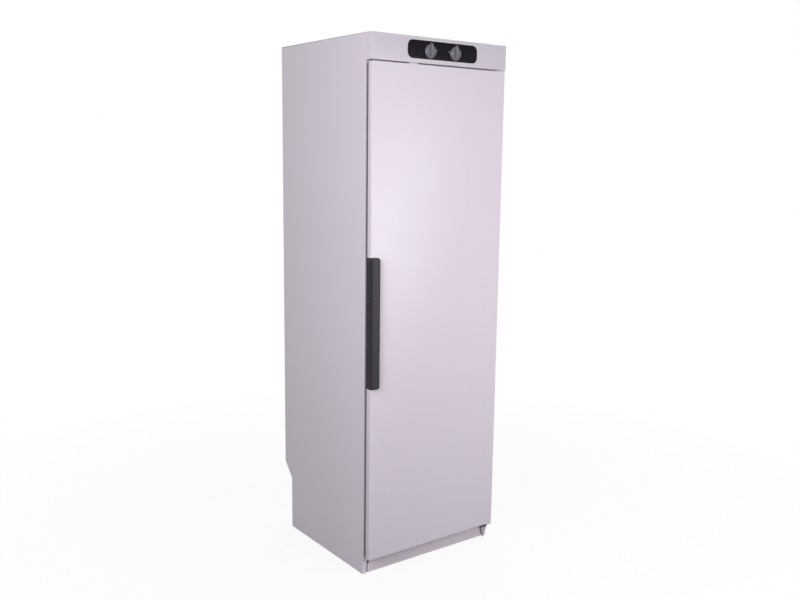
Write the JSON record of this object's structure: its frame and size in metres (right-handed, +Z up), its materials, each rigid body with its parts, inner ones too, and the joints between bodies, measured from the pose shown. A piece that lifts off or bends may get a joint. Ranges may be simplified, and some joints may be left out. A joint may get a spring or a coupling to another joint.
{
  "type": "drying cabinet",
  "caption": "Tall free-standing drying cabinet: white steel body, full-height hinged door with a black strip handle, knobs above, folding wire racks and fan heater inside.",
  "frame": {"origin": "on the floor under the middle of the cabinet: the bottom centre of the bounding box", "axes": "+Z up, the door faces -Y, +X is the viewer's right, where the door's hinges are"},
  "size_m": [0.595, 0.615, 1.945],
  "materials": {
    "white_lacquer": "smooth semi-gloss powder lacquer",
    "white_liner": "satin powder lacquer",
    "white_wire": "white coated wire",
    "zinc_steel": "zinc coated sheet, fine spangle",
    "bare_steel": "bright steel",
    "heater_steel": "heat-darkened steel tube",
    "black_plastic": "fine grained black plastic",
    "grey_plastic": "satin mid grey plastic",
    "white_plastic": "satin white plastic",
    "grey_rubber": "soft dark grey profile",
    "mineral_wool": "light bonded mineral wool board"
  },
  "bodies": {
    "cabinet": {"left_side_panel": "white_lacquer", "right_side_panel": "white_lacquer", "top_cover": "white_lacquer", "back_panel": "zinc_steel", "lower_back_panel": "zinc_steel", "base_pan": "zinc_steel", "plinth": "white_lacquer", "front_top_rail": "white_liner", "front_bottom_rail": "white_liner", "foot_front_left": "black_plastic", "foot_front_right": "black_plastic", "foot_back_left": "black_plastic", "foot_back_right": "black_plastic", "left_liner": "white_liner", "right_liner": "white_liner", "back_liner": "white_liner", "chamber_floor": "white_liner", "chamber_ceiling": "white_liner", "upper_rack": "white_wire", "upper_rack_rail_left": "white_plastic", "upper_rack_rail_right": "white_plastic", "middle_rack_bracket_left": "white_plastic", "middle_rack_bracket_right": "white_plastic", "lower_rack_bracket_left": "white_plastic", "lower_rack_bracket_right": "white_plastic", "fan_housing": "zinc_steel", "fan_motor": "bare_steel", "heater_duct": "zinc_steel", "heating_element": "heater_steel", "overheat_cutout": "zinc_steel", "exhaust_duct": "zinc_steel", "exhaust_spigot": "zinc_steel", "terminal_box": "grey_plastic", "cord_gland": "black_plastic", "fascia_panel": "white_lacquer", "control_insert": "black_plastic", "control_bracket": "zinc_steel", "timer_unit": "white_plastic", "temperature_selector": "black_plastic", "door_switch": "white_plastic", "upper_hinge_bracket": "white_lacquer", "lower_hinge_bracket": "white_lacquer"},
    "door": {"door_outer_panel": "white_lacquer", "door_inner_panel": "white_liner", "door_insulation": "mineral_wool", "door_gasket": "grey_rubber", "door_handle": "black_plastic", "upper_hinge_bush": "white_plastic", "lower_hinge_bush": "white_plastic", "door_switch_tongue": "white_plastic", "upper_glove_rack": "white_wire", "lower_glove_rack": "white_wire"},
    "middle_folding_rack": {"middle_rack": "white_wire"},
    "lower_folding_rack": {"lower_rack": "white_wire"},
    "fan_rotor": {"fan_wheel": "black_plastic", "fan_shaft": "bare_steel"},
    "timer_control": {"timer_knob": "grey_plastic", "timer_spindle": "bare_steel"},
    "temperature_control": {"temperature_knob": "grey_plastic", "temperature_spindle": "bare_steel"}
  },
  "joints": [
    {"name": "door_hinge", "type": "hinge", "parent": "cabinet", "child": "door", "pos_m": [0.286, -0.2835, 0.9375], "axis": [0, 0, 1], "range_deg": [0, 110]},
    {"name": "middle_rack_fold", "type": "hinge", "parent": "cabinet", "child": "middle_folding_rack", "pos_m": [0, 0.2, 1.145], "axis": [-1, 0, 0], "range_deg": [0, 93]},
    {"name": "lower_rack_fold", "type": "hinge", "parent": "cabinet", "child": "lower_folding_rack", "pos_m": [0, 0.2, 0.68], "axis": [-1, 0, 0], "range_deg": [0, 93]},
    {"name": "fan_spin", "type": "hinge", "parent": "cabinet", "child": "fan_rotor", "pos_m": [0, -0.06, 1.79], "axis": [0, 0, 1], "continuous": true},
    {"name": "timer_turn", "type": "hinge", "parent": "cabinet", "child": "timer_control", "pos_m": [-0.0552, -0.296, 1.8534], "axis": [0, 1, 0], "range_deg": [0, 300]},
    {"name": "temperature_turn", "type": "hinge", "parent": "cabinet", "child": "temperature_control", "pos_m": [0.0552, -0.296, 1.8534], "axis": [0, 1, 0], "range_deg": [0, 270]}
  ]
}
